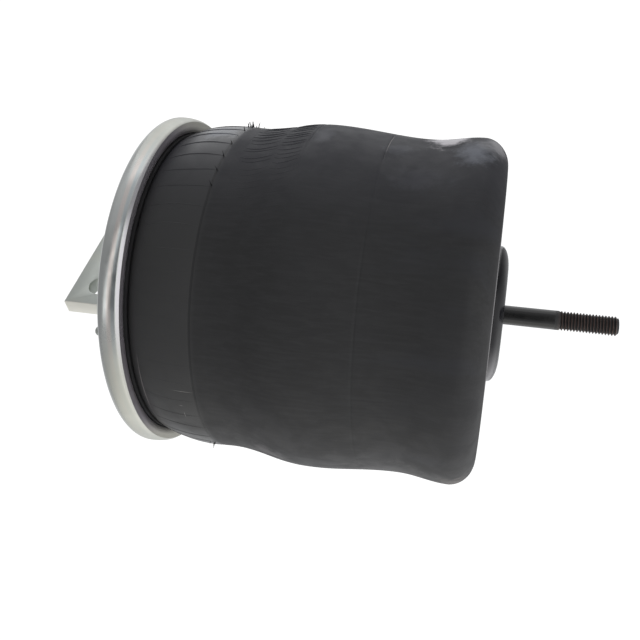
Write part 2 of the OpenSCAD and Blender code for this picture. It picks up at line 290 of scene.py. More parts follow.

# Under its lower edge the rim is painted dark violet as painted shade, but for the very ends of the dull
# parts
inward = remap(tree, from_axis(tree, place), roll_x + 0.00285, roll_x + 0.00265)
shade_under_edge = calc(tree, "MULTIPLY", inward, remap(tree, height, -0.011, -0.0115))
either_way = calc(tree, "ABSOLUTE", along_side_way)
under_edge_shade = blend_colours(tree, remap(tree, either_way, 0.09, 0.109), (0.45, 0.42, 0.46), (0.56, 0.55, 0.49))
tree.links.new(blend_colours(tree, shade_under_edge, tinted, under_edge_shade), shader.inputs["Base Color"])
tree.links.new(remap(tree, shade_under_edge, 0, 1, 1, 0.7), shader.inputs["Metallic"])

# The section runs from the disc's edge over the bend, down the flank, round the lower corner and the under
# side to the lip, and back up inside
flank_h = 0.0125
rim_corner_x = roll_x + 0.00006
rim_corner_z = -0.0111
rim_corner_r = 0.0046
under_x = roll_x - 0.0004
under_z = -0.0115
under_w = 0.005
under_h = 0.0034
lip_z = -0.0127
inner_flank_h = 0.007
bm = bmesh.new()
turn(bm, (
    [(disc_r, 0)]
    + arc(roll_x, -roll_r, roll_r, roll_r, 90, 0, 14)
    + arc(roll_x, -roll_r, roll_r, flank_h, 0, -34)[1:]
    + arc(rim_corner_x, rim_corner_z, rim_corner_r, rim_corner_r, -16, -52)[1:]
    + arc(under_x, under_z, under_w, under_h, -76, -140)
    + arc(lip_r + lip_t / 2, lip_z, lip_t / 2, lip_t / 2, -110, -270)
    + [(roll_x + 0.0015, -rim_h + lip_t)]
    + arc(roll_x, -roll_r, roll_r - plate_t, inner_flank_h, -50, 0)
    + arc(roll_x, -roll_r, roll_r - plate_t, roll_r - plate_t, 0, 90)[1:]
    + [(disc_r, -plate_t)]
), closed=False)

# Both faces of the disc have the air hole, and its wall joins them
for face_z in (0, -plate_t):
    on_face = Matrix.Translation((0, 0, face_z))
    at_inlet = Matrix.Translation((inlet_x, 0, face_z))
    edge = bmesh.ops.create_circle(bm, segments=turn_steps, radius=disc_r, matrix=on_face)
    hole = bmesh.ops.create_circle(bm, segments=48, radius=air_hole_r, matrix=at_inlet)
    loops = {e for v in edge["verts"] + hole["verts"] for e in v.link_edges}
    bmesh.ops.triangle_fill(bm, edges=list(loops), use_beauty=True, use_dissolve=False)
hole_edges = [
    e for e in bm.edges
    if all(abs((v.co.xy - Vector((inlet_x, 0))).length - air_hole_r) < 1e-5 for v in e.verts)
]
bmesh.ops.bridge_loops(bm, edges=hole_edges)
bmesh.ops.remove_doubles(bm, verts=bm.verts, dist=2e-6)
plate = finish(bm, "rolled_bead_plate", plate_zinc, "root")
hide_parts("bead_plate")


# Bracket.
# An 11 mm steel plate that stands across the bead plate and bolts to the vehicle's frame through two
# holes. It is sawn to length, drilled, welded down on both sides and plated with the bead plate.
bracket_w = 0.0726
bracket_h = 0.069
bracket_t = 0.0112
bracket_hole_r = 0.00825
bracket_pitch = 0.036
bracket_hole_z = 0.049
bracket_edge = 0.0005
bracket_zinc = zinc("bracket_zinc", (0.63, 0.66, 0.62), (0.66, 0.66, 0.57), 0.36, 0.12)

# The sawn ends are given a lighter, creamier colour than the rolled faces. The locating pin, further out, is
# not.
tree = bracket_zinc.node_tree
shader = tree.nodes["Principled BSDF"]
place = add(tree, "ShaderNodeTexCoord").outputs["Object"]
sideways = calc(tree, "ABSOLUTE", towards(tree, place, (1, 0, 0)))
at_end = remap(tree, sideways, bracket_w / 2 - 0.0006, bracket_w / 2 - 0.0002)
on_bracket = remap(tree, sideways, bracket_w / 2 + 0.001, bracket_w / 2 + 0.002, 1, 0)
cut_end = calc(tree, "MULTIPLY", at_end, on_bracket)
tinted = shader.inputs["Base Color"].links[0].from_socket
tree.links.new(blend_colours(tree, cut_end, tinted, (1, 0.985, 0.9)), shader.inputs["Base Color"])


def rectangle(bm, low, high, y):
    """Four edges round an upright rectangle at depth y."""
    corners = [(low[0], low[1]), (high[0], low[1]), (high[0], high[1]), (low[0], high[1])]
    verts = [bm.verts.new((x, y, z)) for x, z in corners]
    return [bm.edges.new(pair) for pair in zip(verts, verts[1:] + verts[:1])]


def circle_edges(bm, x, z, radius, y):
    """The edges of an upright circle at depth y."""
    matrix = Matrix.Translation((x, y, z)) @ Matrix.Rotation(math.radians(90), 4, "X")
    made = bmesh.ops.create_circle(bm, segments=48, radius=radius, matrix=matrix)
    return list({e for v in made["verts"] for e in v.link_edges})


def thicken(bm, way):
    """Extrudes the flat face of a bmesh along a way."""
    far_face = bmesh.ops.extrude_face_region(bm, geom=bm.faces[:])["geom"]
    bmesh.ops.translate(bm, verts=[g for g in far_face if isinstance(g, bmesh.types.BMVert)], vec=way)


def bevel(bm, edges, offset, segments):
    """Rounds edges off."""
    bmesh.ops.bevel(
        bm, geom=edges, offset=offset, affect="EDGES", segments=segments, profile=0.5, material=-1,
    )


bm = bmesh.new()
loops = rectangle(bm, (-bracket_w / 2, 0.0002), (bracket_w / 2, bracket_h), -bracket_t / 2)
for side in (-1, 1):
    loops += circle_edges(bm, side * bracket_pitch / 2, bracket_hole_z, bracket_hole_r, -bracket_t / 2)
bmesh.ops.triangle_fill(bm, edges=loops, use_beauty=True, use_dissolve=False)
thicken(bm, (0, bracket_t, 0))
face_edges = [
    e for e in bm.edges
    if e.calc_face_angle() > math.radians(60) and e.verts[0].co.y == e.verts[1].co.y
]
bevel(bm, face_edges, bracket_edge, 3)
bracket = finish(bm, "drilled_bracket", bracket_zinc, "root", sharp=40)
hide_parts("bracket")


# Bracket welds.
# Two hand-laid fillet welds along the bracket's foot. Each was built up drop by drop, which leaves
# ripples across the bead, and the plating over it is duller than on the pressed steel.
weld_leg = 0.006
weld_half = bracket_w / 2 - weld_leg
ripple_pitch = 0.0021
weld_zinc = zinc("weld_zinc", (0.52, 0.53, 0.5), (0.42, 0.4, 0.36), 0.42, 0.2)


def fillet_section(leg):
    """Section of a fillet weld, as distances along its two legs, closed just behind the corner."""
    points = []
    for k in range(9):
        a = math.radians(90 * k / 8)
        reach = leg * (0.86 + 0.14 * abs(math.cos(2 * a)))
        points.append((reach * math.cos(a), reach * math.sin(a)))
    return [*points, (-0.0003, -0.0003)]


# Laid a little small, since the ripples add to it
weld_section = fillet_section(weld_leg * 0.93)
weld_steps = 120
bm = bmesh.new()
for side in (-1, 1):
    part = bmesh.new()
    corner_y = side * bracket_t / 2
    verts = [part.verts.new((-weld_half, corner_y + side * a, b)) for a, b in weld_section]
    edges = [part.edges.new(pair) for pair in zip(verts, verts[1:] + verts[:1])]
    bmesh.ops.spin(
        part, geom=verts + edges, cent=(0, 0, 0), axis=(1, 0, 0), dvec=(2 * weld_half / weld_steps, 0, 0),
        angle=0, steps=weld_steps, use_merge=False, use_duplicate=False,
    )
    bmesh.ops.holes_fill(part, edges=[e for e in part.edges if e.is_boundary], sides=0)
    for v in part.verts:
        from_end = 1 - abs(v.co.x) / weld_half
        ripple = abs(math.sin(math.pi * v.co.x / ripple_pitch))
        uneven = noise.noise(Vector((v.co.x * 300, side, 0)))
        grown = min(1, 0.6 + 5 * from_end) * (1 + 0.05 * ripple + 0.04 * uneven)
        v.co.y = corner_y + (v.co.y - corner_y) * grown
        v.co.z *= grown
    pour(part, bm)
welds = finish(bm, "bracket_fillet_welds", weld_zinc, "root", sharp=60)
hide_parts("bracket_welds")


# Locating pin.
# A short steel pin pressed into the bead plate beside the bracket. It finds its hole in the hanger, so
# the spring can only be bolted up one way round.
pin_r = 0.0032
pin_h = 0.0215
pin_place = (-0.073, -0.023)
bm = bmesh.new()
turn(bm, [
    (0, -0.001), (pin_r, -0.001), (pin_r, pin_h - 0.0014), (pin_r - 0.0002, pin_h - 0.001),
    (pin_r - 0.001, pin_h - 0.0001), (pin_r - 0.0013, pin_h), (0, pin_h),
], steps=40, closed=False, centre=pin_place)
pin = finish(bm, "frame_locating_pin", bracket_zinc, "root")
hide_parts("locating_pin")


# Air inlet.
# A turned steel boss with a quarter inch pipe thread, welded over a hole in the bead plate. The bellows
# is filled through it.
boss_r = 0.014
boss_h = 0.013
inlet_bore_r = 0.0056
boss_chamfer = 0.0015
pipe_pitch = 0.00141
pipe_depth = 0.0006
thread_start_z = boss_h - 0.0016
bm = bmesh.new()
thread = []
thread_grooves = int(boss_h / pipe_pitch) - 1
for i in range(thread_grooves):
    z = thread_start_z - i * pipe_pitch
    thread += [(inlet_bore_r, z), (inlet_bore_r + pipe_depth, z - pipe_pitch / 2)]
turn(bm, [
    (inlet_bore_r + 0.0009, 0), (boss_r, 0), (boss_r, boss_h - boss_chamfer),
    (boss_r - 0.0003, boss_h - 0.001), (boss_r - boss_chamfer, boss_h), (inlet_bore_r + 0.0014, boss_h),
    *thread, (inlet_bore_r, thread_start_z - thread_grooves * pipe_pitch),
], steps=96, centre=(inlet_x, 0))
boss = finish(bm, "threaded_inlet_boss", plate_zinc, "root", sharp=30)
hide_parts("inlet_boss")

inlet_weld_leg = 0.003


def lay_round_weld(bm, corner_r, corner_z, leg, outward, upward, ripples, centre=(0, 0)):
    """Lays a rippled bead round a corner, which fills it outward or inward (1 or -1) and upward or down."""
    part = bmesh.new()
    laid = fillet_section(leg * 0.86)
    section = [(corner_r + outward * a, corner_z + upward * b) for a, b in laid]
    turn(part, section, steps=ripples * 6, centre=centre)
    for v in part.verts:
        flat = v.co.xy - Vector(centre)
        turned = math.atan2(flat.y, flat.x)
        uneven = noise.noise(Vector((math.cos(turned), math.sin(turned), 3)) * 2)
        ripple = 1 + 0.1 * abs(math.sin(turned * ripples / 2)) + 0.05 * uneven
        flat *= (corner_r + (flat.length - corner_r) * ripple) / flat.length
        v.co.xy = flat + Vector(centre)
        v.co.z = corner_z + (v.co.z - corner_z) * ripple
    pour(part, bm)


bm = bmesh.new()
lay_round_weld(bm, boss_r, 0, inlet_weld_leg, outward=1, upward=1, ripples=38, centre=(inlet_x, 0))
inlet_bead = finish(bm, "inlet_weld_bead", weld_zinc, "root", sharp=60)
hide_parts("inlet_weld")


# Bellows, outer wall and fold.
# Two plies of rubberised cord between two layers of black rubber, cured in a mould. The rubber is matte,
# with thin fins where it ran into the mould's vents, rings at the mould's joints, and a pale bloom.
rubber_t = 0.005
neck_z = -0.0155
fold_r = 0.0165
lobe_r = 0.114
fold_z = -0.2285
fold_centre_z = fold_z + fold_r
fold_low_r = 0.0955
leg_r = 0.081
vent_line_z = -0.058
middle_line_z = -0.108
lower_line_z = -0.155


def swell(a, b, t):
    """From a to b, quick at first."""
    return a + (b - a) * math.sin(math.pi / 2 * t ** 0.7)


def ease(a, b, t):
    """From a to b, slow at both ends."""
    return a + (b - a) * (1 - math.cos(math.pi * t)) / 2


def ramp(value, start, end):
    """Share of the way from start to end, 0 before it and 1 beyond."""
    return min(1, max(0, (value - start) / (end - start)))


def soften(share):
    """Slows a share down near 0 and near 1."""
    return share * share * (3 - 2 * share)


# Stations of the outside from the rim down: height, radius, and how the wall gets there
wall_stations = [
    (neck_z, 0.1025, ease), (-0.052, 0.1113, swell), (-0.068, 0.1107, ease), (-0.114, 0.1163, ease),
    (-0.1805, 0.111, ease), (fold_centre_z, lobe_r, ease),
]


def wall_radius(z):
    """Radius of the bellows' outside at a height."""
    for (z0, r0, _), (z1, r1, way) in zip(wall_stations, wall_stations[1:]):
        if z >= z1:
            return way(r0, r1, ramp(z, z0, z1))
    return lobe_r


def on_wall(angle, z):
    """A point on the wall at an angle in degrees and a height."""
    r = wall_radius(z)
    return Vector((r * math.cos(math.radians(angle)), r * math.sin(math.radians(angle)), z))


def spot(tree, place, angle, z, across, along, ragged):
    """A ragged patch, 1 in its middle, with half sizes across and along the wall and 50 mm through it."""
    local = add(tree, "ShaderNodeMapping", {"vector_type": "TEXTURE"}, {
        "Vector": place, "Location": on_wall(angle, z), "Rotation": (0, 0, math.radians(angle)),
        "Scale": (0.05, across, along),
    }).outputs["Vector"]
    away = add(tree, "ShaderNodeVectorMath", {"operation": "LENGTH"}, {0: local}).outputs["Value"]
    torn = add(tree, "ShaderNodeTexNoise", None, {
        "Vector": place, "Scale": 120, "Detail": 6, "Roughness": 0.68,
    }).outputs["Fac"]
    edge = calc(tree, "MULTIPLY_ADD", torn, ragged, away)
    return remap(tree, edge, 0.2 + ragged * 0.5, 1.1 + ragged * 0.5, 1, 0)


def keep_place(piece):
    """Stores where each point rests, so that the rubber's pattern stays on it as the bellows rolls."""
    resting = [value for v in piece.data.vertices for value in v.co]
    piece.data.attributes.new("rest_place", "FLOAT_VECTOR", "POINT").data.foreach_set("vector", resting)


rubber, tree, shader, _ = new_material("bellows_rubber")
place = add(tree, "ShaderNodeAttribute", {"attribute_name": "rest_place"}).outputs["Vector"]
height = height_of(tree, place)

# Black rubber, smudged and brushed, greyer above the vent line, with streaks on its lower half
smudges = use(tree, clouds, place, Scale=16, Low=0.45, High=0.8).outputs["Mask"]
drawn_out = add(tree, "ShaderNodeMapping", None, {"Vector": place, "Scale": (1, 1, 0.22)}).outputs["Vector"]
streaks = use(tree, clouds, drawn_out, Scale=45, Low=0.45, High=0.8).outputs["Mask"]
lower_wall = remap(tree, height, -0.14, -0.19)
upper_wall = remap(tree, height, -0.062, -0.056)
brushed = add(tree, "ShaderNodeMapping", None, {"Vector": place, "Scale": (1, 1, 0.12)}).outputs["Vector"]
brushing = use(tree, clouds, brushed, Scale=420, Low=0.35, High=0.75).outputs["Mask"]
colour = blend_colours(tree, smudges, (0.026, 0.026, 0.027), (0.0315, 0.0315, 0.0345))
colour = blend_colours(tree, brushing, colour, (0.033, 0.033, 0.0345))
colour = blend_colours(tree, calc(tree, "MULTIPLY", streaks, lower_wall), colour, (0.034, 0.035, 0.04))
colour = blend_colours(tree, upper_wall, colour, (0.043, 0.043, 0.0435))

# A bluish painted sheen on the side that the panel over the spring lights, and a pale bloom on the half that
# lay open to the air
out_of_middle = towards(tree, place, side_way)
top_sheen = remap(tree, out_of_middle, 0.02, 0.11, 0, 0.8)
colour = blend_colours(tree, top_sheen, colour, (0.037, 0.0375, 0.0475))
open_way = Vector((0.65, 0.76, 0))
open_side = remap(tree, towards(tree, place, open_way), -0.08, 0.02)
bloom_clouds = use(tree, clouds, drawn_out, Scale=24, Low=0.42, High=0.82).outputs["Mask"]
bloomed = calc(tree, "MULTIPLY", bloom_clouds, open_side)
colour = blend_colours(tree, bloomed, colour, (0.085, 0.087, 0.096))

# Pale patches: angle and height on the wall, half sizes across and along it, raggedness and colour. Some
# are bloom and stains. Others are painted highlights and sheen where the wall catches light at its edges:
# the first, at the waist, the ones at -70° and -207° near the rim, and the one at -65° on the fold's corner.
patches = [
    (-62, -0.189, 0.021, 0.015, 2.6, (0.52, 0.48, 0.52)),
    (-77, -0.2075, 0.021, 0.013, 1.5, (0.165, 0.175, 0.205)),
    (-68, -0.217, 0.02, 0.011, 1.5, (0.2, 0.2, 0.215)),
    (-74, -0.1145, 0.016, 0.008, 1.3, (0.085, 0.087, 0.1)),
    (-76, -0.162, 0.011, 0.01, 2.2, (0.065, 0.067, 0.08)),
    (-92, -0.178, 0.012, 0.022, 2.2, (0.046, 0.047, 0.056)),
    (-70, -0.044, 0.015, 0.014, 2.2, (0.18, 0.19, 0.215)),
    (-197, -0.097, 0.016, 0.014, 2.8, (0.1, 0.096, 0.1)),
    (-203, -0.18, 0.026, 0.04, 2.4, (0.065, 0.064, 0.066)),
    (-206, -0.214, 0.02, 0.013, 2.6, (0.13, 0.12, 0.115)),
    (-207, -0.031, 0.008, 0.012, 3, (0.13, 0.126, 0.118)),
    (-65, -0.2195, 0.018, 0.007, 1.3, (0.36, 0.355, 0.37)),
]
for angle, z, across, along, ragged, patch_colour in patches:
    colour = blend_colours(tree, spot(tree, place, angle, z, across, along, ragged), colour, patch_colour)

# Light scratches, two rubbed lines, the vent line painted dark as painted shade in its groove, and a pale
# ring painted on the lowest part of the fold as a painted highlight
scratches = [
    (-181, -0.048, 0.0035, 0.0002), (-176.3, -0.0475, 0.00022, 0.0018), (-169.6, -0.051, 0.00022, 0.008),
]
for angle, z, across, along in scratches:
    colour = blend_colours(tree, spot(tree, place, angle, z, across, along, 0.5), colour, (0.25, 0.24, 0.23))
for angle, line_z, across in ((-173, -0.0216, 0.03), (-70, lower_line_z - 0.0004, 0.022)):
    on_line = calc(tree, "COMPARE", height, line_z, 0.00028)
    rubbed = calc(tree, "MULTIPLY", spot(tree, place, angle, line_z, across, 0.006, 0.6), on_line)
    colour = blend_colours(tree, rubbed, colour, (0.22, 0.205, 0.205))
# Painted shade: a dark band along the vent line's groove
shaded_vent_line = calc(tree, "COMPARE", height, vent_line_z, 0.0007)
colour = blend_colours(tree, remap(tree, shaded_vent_line, 0, 1, 0, 0.7), colour, (0.02, 0.02, 0.021))
# Painted highlight: a pale ring at the fold's lowest part, standing in for the light along its edge
painted_rim_light = remap(tree, height, -0.2275, -0.2281)
colour = blend_colours(tree, painted_rim_light, colour, (0.3, 0.29, 0.3))
tree.links.new(colour, shader.inputs["Base Color"])

# Above the vent line two sides of the wall came off polished parts of the mould, and the waist shines too
one_side = remap(tree, out_of_middle, 0.05, 0.103, 0.15, 1)
other_side = remap(tree, out_of_middle, -0.085, -0.106, 0, 0.5)
on_polish = calc(tree, "MAXIMUM", one_side, other_side)
above_line = calc(tree, "MULTIPLY", remap(tree, height, -0.022, -0.038), upper_wall)
polished = calc(tree, "MULTIPLY", above_line, on_polish)
waist_shine = spot(tree, place, *patches[0][:-1])
shine = calc(tree, "MAXIMUM", polished, waist_shine)
tree.links.new(remap(tree, shine, 0, 1, 0, 0.85), shader.inputs["Coat Weight"])
set_plain(shader, Coat_Roughness=0.22, Coat_IOR=1.3, Specular_IOR_Level=0.35)
rough = remap(tree, use(tree, clouds, place, Scale=60, Low=0.3, High=0.7).outputs["Mask"], 0, 1, 0.54, 0.64)
smoother = remap(tree, upper_wall, 0, 1, 0, 0.08)
tree.links.new(calc(tree, "SUBTRACT", rough, smoother), shader.inputs["Roughness"])
bump(tree, shader, use(tree, grain, place, Scale=1400).outputs["Height"], 0.00004)

# Shallow lines round the wall: height, half width, depth, and the share that fades towards the far side
# of the mould
lines = [
    (vent_line_z, 0.0009, 0.00035, 0), (-0.0685, 0.0004, 0.00013, 0.8), (middle_line_z, 0.0009, 0.0005, 1),
    (lower_line_z, 0.0006, 0.0003, 0.2),
]

# The rows of points lie closest near the rim, and each line has three rows of its own
wall_rows = 70
heights = [neck_z + (fold_centre_z - neck_z) * (i / wall_rows) ** 1.2 for i in range(wall_rows + 1)]
rows = [z for z in heights if all(abs(z - line_z) > wide for line_z, wide, _, _ in lines)]
for line_z, wide, _, _ in lines:
    rows += [line_z + wide, line_z, line_z - wide]
outside = [(wall_radius(z), z) for z in sorted(rows, reverse=True)]
inside = [(wall_radius(z) - rubber_t, z) for z in heights[::3]]
bm = bmesh.new()
turn(bm, (
    outside
    + arc(fold_low_r, fold_centre_z, lobe_r - fold_low_r, fold_r, 0, -90, 14)[1:]
    + arc(fold_low_r, fold_centre_z, fold_low_r - leg_r, fold_r, -90, -180, 12)[1:]
    + arc(fold_low_r, fold_centre_z, fold_low_r - leg_r - rubber_t, fold_r - rubber_t, -180, -90, 8)
    + arc(fold_low_r, fold_centre_z, lobe_r - rubber_t - fold_low_r, fold_r - rubber_t, -90, 0, 8)[1:]
    + inside[::-1]
), steps=240)


def fin(bm, top, bottom, half_width, height, angle_at):
    """Lays a thin fin down the wall, whose angle in radians is a function of the share done."""
    part = bmesh.new()
    bmesh.ops.create_uvsphere(part, u_segments=4, v_segments=12, radius=1)
    for v in part.verts:
        share = (1 - v.co.z) / 2
        z = top + (bottom - top) * share
        r = wall_radius(z)
        turned = angle_at(share) + v.co.x * half_width / r
        out = r + v.co.y * height
        v.co = (out * math.cos(turned), out * math.sin(turned), z)
    pour(part, bm)


def hair(bm, angle, z, length, thickness=0.00035, sunk=0.0003):
    """Adds a tapered hair of vented rubber that leans a little and starts just inside the wall."""
    root = Matrix.Translation(on_wall(angle, z)) @ Matrix.Rotation(math.radians(angle), 4, "Z")
    aside = Matrix.Rotation(random.uniform(-0.4, 0.4), 4, "X")
    lean = aside @ Matrix.Rotation(random.uniform(1.2, 1.9), 4, "Y")
    bmesh.ops.create_cone(
        bm, cap_ends=True, segments=5, radius1=thickness, radius2=thickness * 0.3, depth=length,
        matrix=root @ lean @ Matrix.Translation((0, 0, length / 2 - sunk)),
    )


# Fins from the rim down to the vent line, some with a hair at their end, deepest on two sides of the mould
deepest = math.radians(-66)
next_deepest = math.radians(-206)
vents = 50
fin_top_z = -0.021
fin_half_w = 0.0003
fin_h = 0.0004
hairs = bmesh.new()
for k in range(vents):
    angle = 2 * math.pi * (k + 0.83 + random.uniform(-0.06, 0.06)) / vents
    bend = random.uniform(-0.01, 0.015)
    one_side = max(0, math.cos(angle - deepest)) ** 3
    other_side = max(0, math.cos(angle - next_deepest)) ** 10
    depth = fin_h * (0.3 + 0.7 * max(one_side, 0.4 * other_side))
    fin(
        bm, fin_top_z, vent_line_z, fin_half_w, depth,
        lambda share: angle + bend * math.sin(math.pi * share),
    )
    hair_count = random.choice((0, 1, 1)) if one_side > 0.3 else 0
    for _ in range(hair_count):
        at = math.degrees(angle) + random.uniform(-0.6, 0.6)
        hair(hairs, at, vent_line_z, random.uniform(0.002, 0.0044))

# Two tufts of hairs near the vent line, each at an angle and with a number of hairs
for angle, hair_count in ((-55, 13), (-206, 4)):
    for _ in range(hair_count):
        at = random.gauss(angle, 3)
        z = vent_line_z + random.uniform(-0.0025, 0.0055)
        hair(hairs, at, z, random.uniform(0.0014, 0.0044), 0.0004)
pour(hairs, bm)

# Two rows of wrinkles, deepest on the same side, where the fabric was folded tighter: top, bottom, number
# and how far each climbs round the wall
for top, bottom, wrinkles, rise in ((-0.069, -0.0892, 128, 0.01), (-0.0908, -0.1058, 150, 0.018)):
    for k in range(wrinkles):
        angle = 2 * math.pi * (k + random.uniform(-0.2, 0.2)) / wrinkles
        sag = random.uniform(0.012, 0.022)
        climb = rise + random.uniform(-0.006, 0.006)
        ends = random.uniform(-0.0012, 0.0012)
        one_side = max(0, math.cos(angle - deepest)) ** 10
        depth = random.uniform(0.00028, 0.0004) * (0.08 + 0.92 * one_side)
        fin(
            bm, top + ends, bottom - ends, fin_half_w, depth,
            lambda share: angle + climb * share - sag * math.sin(math.pi * share ** 0.8),
        )

# One broad crease where the wall swells into the fold
crease_top_z = -0.177
crease_bottom_z = -0.204
crease_half_w = 0.0016
crease_h = 0.0003
crease_bow = math.radians(6)
fin(
    bm, crease_top_z, crease_bottom_z, crease_half_w, crease_h,
    lambda share: deepest - crease_bow * math.sin(math.pi * share),
)

# The rubber hangs a little out of round: its lower half leans away from the upper side of the picture,
# and the fold reaches lowest on the side of the camera. The shallow lines are pressed in here too.
lean_way = -Vector((camera_up.x, camera_up.y, 0)).normalized()
away = Vector((camera_forward.x, camera_forward.y, 0)).normalized()
most_lean = 0.0009
most_lift = 0.0019
for v in bm.verts:
    r = v.co.xy.length
    leaning = soften(ramp(v.co.z, -0.085, -0.14)) * soften(ramp(r, 0.088, 0.108))
    folded = soften(ramp(v.co.z, -0.15, -0.21) * ramp(r, 0.083, 0.093))
    for line_z, _, deep, fading in lines:
        if abs(v.co.z - line_z) < 1e-5 and r > 0.109:
            one_sided = max(0, math.cos(math.atan2(v.co.y, v.co.x) - deepest)) ** 6
            v.co.xy *= 1 - deep * (1 - fading + fading * one_sided) / r
    lifted = most_lift * (1 + v.co.dot(away) / lobe_r) * folded
    v.co += lean_way * most_lean * leaning
    v.co.z += lifted
bellows = finish(bm, "bellows_outer_wall", rubber, sharp=50)
keep_place(bellows)
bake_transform(bellows)
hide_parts("bellows_sleeve", "bellows_lobe")


# Bellows, inner leg.
# The same rubber, rolled inside itself: it runs up the piston's wall and over its shoulder to the lower
# bead. The leg shortens as the spring extends and the rubber rolls off the piston.
piston_r = 0.0807
shoulder_r = 0.012
piston_top_z = -0.1025
bead_w = 0.011
bead_in_r = 0.0562
leg_top_z = piston_top_z - shoulder_r

# The fold rolls half as far as the piston moves
stroke = 0.17
bm = bmesh.new()
turn(bm, [
    (leg_r, fold_centre_z + 0.0002), (leg_r + rubber_t, fold_centre_z + 0.0002),
    (leg_r + rubber_t, leg_top_z), (leg_r, leg_top_z),
], steps=160)
leg = finish(bm, "bellows_inner_leg", rubber, "piston")
keep_place(leg)
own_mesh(leg)
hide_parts("bellows_inner_sleeve")

turn_x = piston_r - shoulder_r
turn_in = leg_r - turn_x
bm = bmesh.new()
turn(bm, (
    arc(turn_x, leg_top_z, turn_in + rubber_t, turn_in + rubber_t, 0, 75, 12)
    + [(bead_in_r + bead_w, piston_top_z + bead_w), (bead_in_r, piston_top_z + bead_w)]
    + [(bead_in_r, piston_top_z + 0.0002)]
    + arc(turn_x, leg_top_z, turn_in, turn_in, 90, 0, 12)
), steps=160)
lower_bead = finish(bm, "bellows_lower_bead", rubber, "piston")
keep_place(lower_bead)
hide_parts("bellows_inner_sleeve", "lower_bead_wire")


# Upper bead.
# The moulded bead in the rolled rim, with a ring of bronze-coated steel wire inside. Only its inner
# corner shows, as a dark gap between the lip and the neck of the bellows.
def soft_rubber(name, low, high, roughness):
    """Plain black rubber between two shades."""
    material, tree, shader, place = new_material(name)
    mottle = use(tree, clouds, place, Scale=40, Low=0.35, High=0.75).outputs["Mask"]
    tree.links.new(blend_colours(tree, mottle, low, high), shader.inputs["Base Color"])
    tree.links.new(remap(tree, mottle, 0, 1, roughness, roughness + 0.12), shader.inputs["Roughness"])
    bump(tree, shader, use(tree, grain, place, Scale=1200).outputs["Height"], 0.00005)
    return material


def cover(material, *names):
    """Gives a material to CAD nodes that are shown as they are."""
    for name in names:
        nodes[name].data.materials.clear()
        nodes[name].data.materials.append(material)


bead_rubber = soft_rubber("bead_rubber", (0.017, 0.017, 0.018), (0.025, 0.025, 0.026), 0.55)
cover(bead_rubber, "bellows_bead")

wire, tree, shader, place = new_material("bead_wire")
strands = add(tree, "ShaderNodeTexNoise", None, {"Vector": place, "Scale": 700, "Detail": 3}).outputs["Fac"]
bronze = blend_colours(tree, strands, (0.35, 0.26, 0.13), (0.6, 0.47, 0.28))
tree.links.new(bronze, shader.inputs["Base Color"])
tree.links.new(remap(tree, strands, 0.3, 0.7, 0.3, 0.5), shader.inputs["Roughness"])
set_plain(shader, Metallic=1)
cover(wire, "upper_bead_wire", "lower_bead_wire")


# Piston.
# A steel cup that the rubber rolls on, with a pressed base welded in and a foot that stands on the axle
# seat. It is dipped in gloss black paint, and one side of the foot's lower edge is painted pale as a painted
# reflection of the floor.
paint, tree, shader, place = new_material("piston_paint")
runs = use(tree, clouds, place, Scale=30, Low=0.35, High=0.75).outputs["Mask"]
dust = use(tree, clouds, place, Scale=90, Low=0.55, High=0.8).outputs["Mask"]
colour = blend_colours(tree, runs, (0.006, 0.006, 0.008), (0.01, 0.01, 0.014))
colour = blend_colours(tree, dust, colour, (0.03, 0.03, 0.032))
# Painted reflection: one side of the foot's lower edge is painted pale
reflection_way = Vector((-0.738, 0.675, 0))
on_one_side = remap(tree, towards(tree, place, reflection_way), 0.018, 0.045)
painted_reflection = calc(tree, "MULTIPLY", on_one_side, remap(tree, height_of(tree, place), -0.2265, -0.228))
tree.links.new(blend_colours(tree, painted_reflection, colour, (0.26, 0.255, 0.27)), shader.inputs["Base Color"])
tree.links.new(remap(tree, runs, 0, 1, 0.14, 0.22), shader.inputs["Roughness"])
orange_peel = add(tree, "ShaderNodeTexNoise", None, {"Vector": place, "Scale": 260, "Detail": 2})
bump(tree, shader, orange_peel.outputs["Fac"], 0.00005)
set_plain(shader, Specular_IOR_Level=0.4)
cover(paint, "piston_shell")

shell_in_r = 0.0777
base_t = 0.004
base_bore_r = 0.0066
foot_z = -0.2345
foot_r = 0.045
foot_edge = 0.016
web_z = -0.2175
web_r = 0.0775
web_fillet = 0.003
foot_drop = fold_z - foot_z
bm = bmesh.new()
turn(bm, (
    [(base_bore_r, foot_z), (base_bore_r + 0.004, foot_z)]
    + arc(foot_r - foot_edge, fold_z, foot_edge, foot_drop, -90, 0, 14)
    + arc(foot_r + web_fillet, web_z - web_fillet, web_fillet, web_fillet, 180, 90, 6)
    + [(web_r, web_z), (web_r, web_z + base_t), (foot_r, web_z + base_t), (foot_r - base_t, web_z)]
    + arc(foot_r - foot_edge, fold_z, foot_edge - base_t, foot_drop - base_t, 0, -90, 8)
    + [(base_bore_r, foot_z + base_t)]
), steps=160)
base = finish(bm, "pressed_piston_base", paint, "piston")
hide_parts("piston_base")

base_weld_leg = 0.003
bm = bmesh.new()
lay_round_weld(bm, shell_in_r, web_z, base_weld_leg, outward=-1, upward=-1, ripples=180)
base_weld = finish(bm, "piston_base_weld", paint, "piston", sharp=60)
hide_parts("piston_weld")


